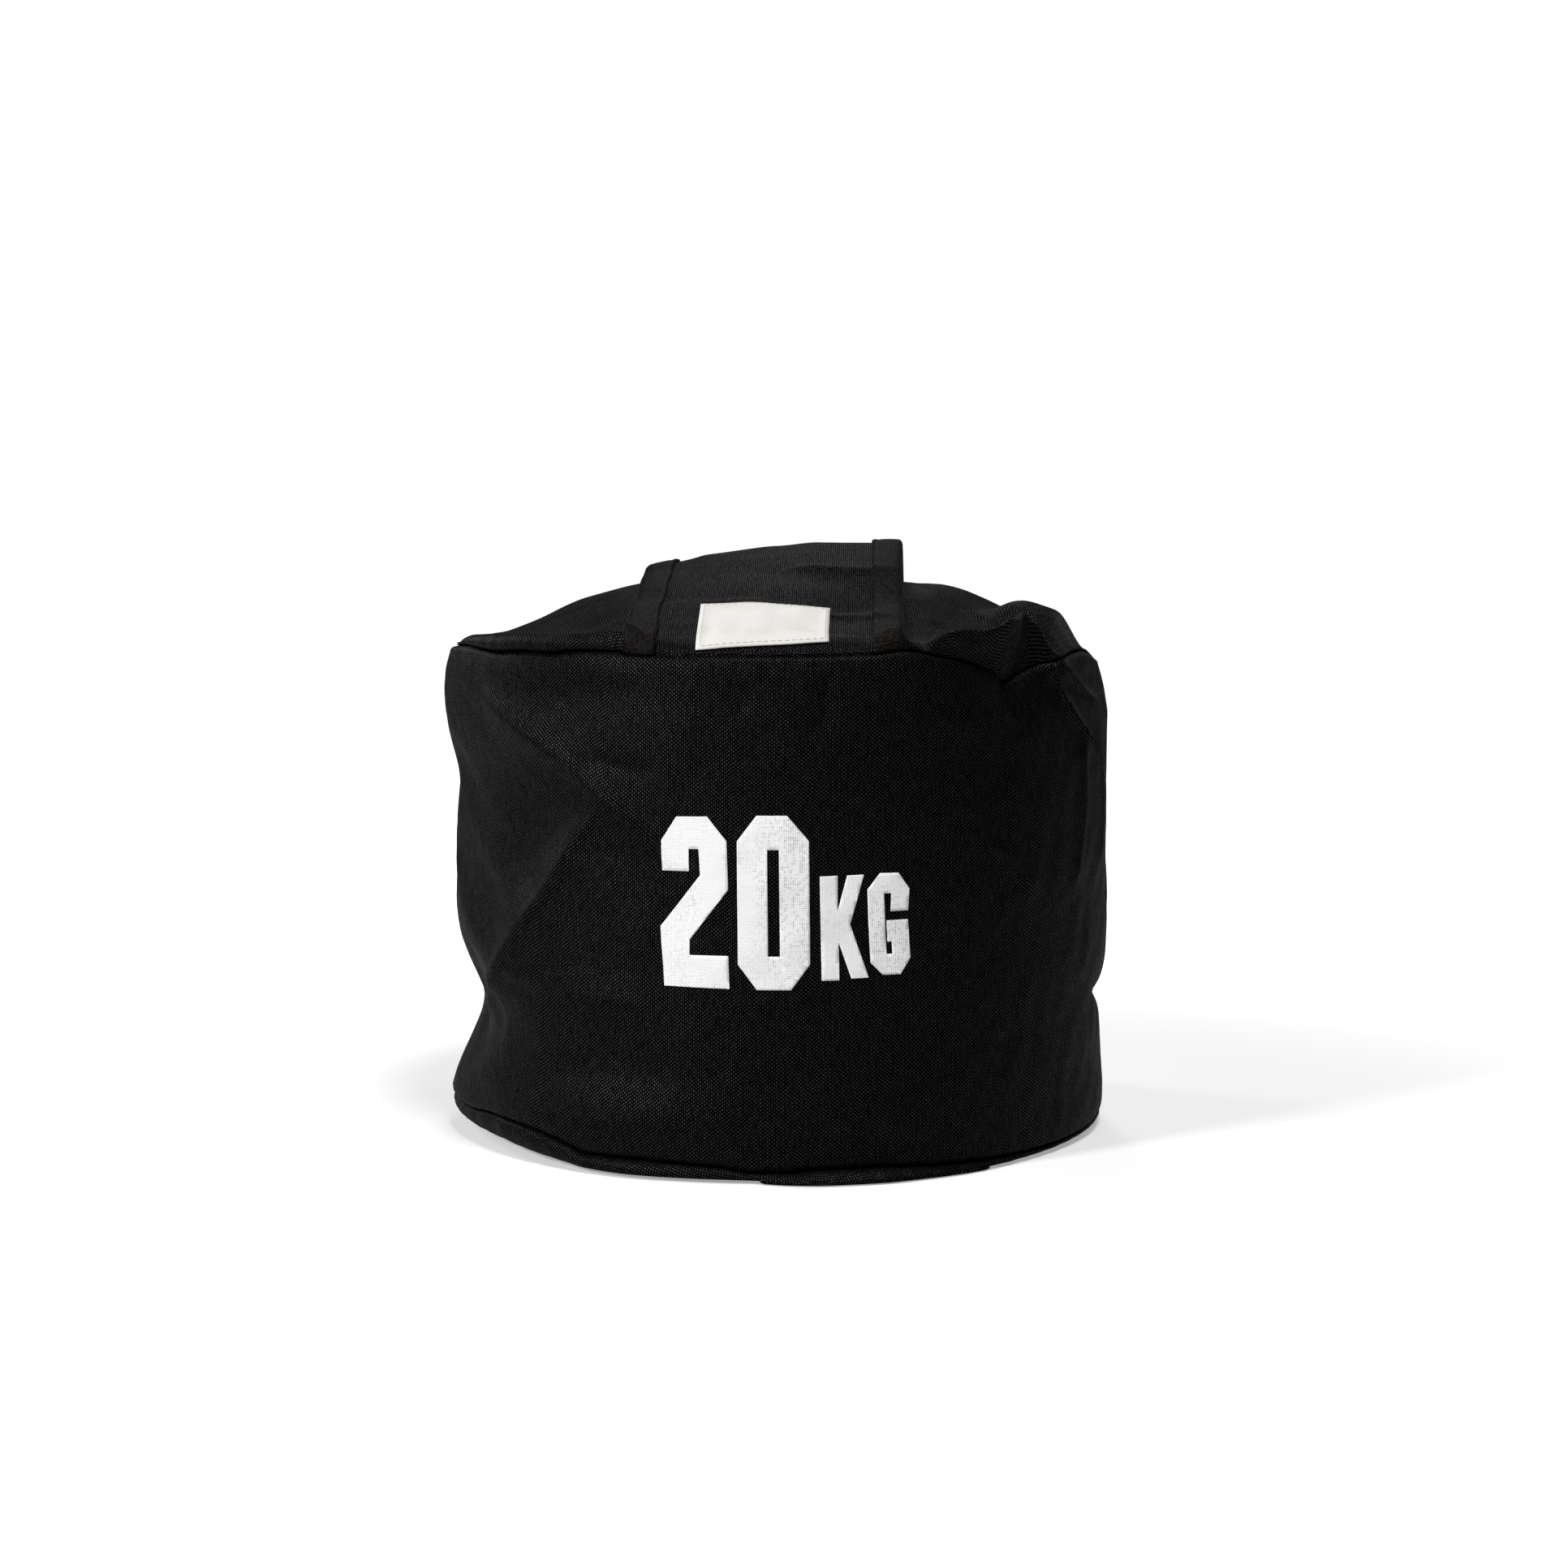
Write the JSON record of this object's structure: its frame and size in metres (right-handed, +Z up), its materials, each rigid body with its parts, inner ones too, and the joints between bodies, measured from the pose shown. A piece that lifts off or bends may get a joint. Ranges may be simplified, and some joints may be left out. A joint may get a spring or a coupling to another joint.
{
  "type": "sandbag trainer",
  "caption": "Soft cylindrical sandbag for throwing and loading drills, with a folding fill sleeve under a hook-and-loop closure flap.",
  "frame": {"origin": "centre of the base's underside, on the floor; X and Y are centred on the bag's bounding box to within its slump", "axes": "+Z up along the bag's axis; -Y is the front, where the closure flap is sewn to the rim; the flap hinge runs along X"},
  "size_m": [0.2902, 0.2904, 0.2537],
  "materials": {
    "shell_cloth": "coarse plain-woven nylon, matt",
    "binding_tape": "woven edge tape, matt",
    "sleeve_cloth": "light coated nylon",
    "hook_and_loop": "napped",
    "label_cloth": "smooth woven label",
    "liner_film": "translucent film",
    "nylon_tie": "smooth",
    "sand": "loose dry grains"
  },
  "bodies": {
    "shell": {"side_wall": "shell_cloth", "bottom_panel": "shell_cloth", "top_panel": "shell_cloth", "bottom_seam_tape": "binding_tape", "top_seam_tape": "binding_tape", "back_seam_tape": "binding_tape", "neck_welt": "binding_tape", "top_loop_strip": "hook_and_loop", "flap_root": "shell_cloth", "liner_bag": "liner_film", "liner_tie": "nylon_tie", "sand_fill": "sand"},
    "flap": {"closure_flap": "shell_cloth", "flap_binding_left": "binding_tape", "flap_binding_right": "binding_tape", "flap_binding_end": "binding_tape", "flap_hook_strip": "hook_and_loop", "label": "label_cloth"},
    "neck": {"fill_neck": "sleeve_cloth", "neck_hook_strip": "hook_and_loop", "neck_loop_strip": "hook_and_loop"}
  },
  "joints": [
    {"name": "flap_hinge", "type": "hinge", "parent": "shell", "child": "flap", "pos_m": [0, -0.12783, 0.21466], "axis": [1, 0, 0], "range_deg": [0, 110]},
    {"name": "neck_hinge", "type": "hinge", "parent": "shell", "child": "neck", "pos_m": [0.008, -0.01203, 0.2422], "axis": [1, 0, 0], "range_deg": [0, 90]}
  ],
  "couplings": [
    {"joint": "neck_hinge", "follows": "flap_hinge", "ratio": 0.8}
  ]
}
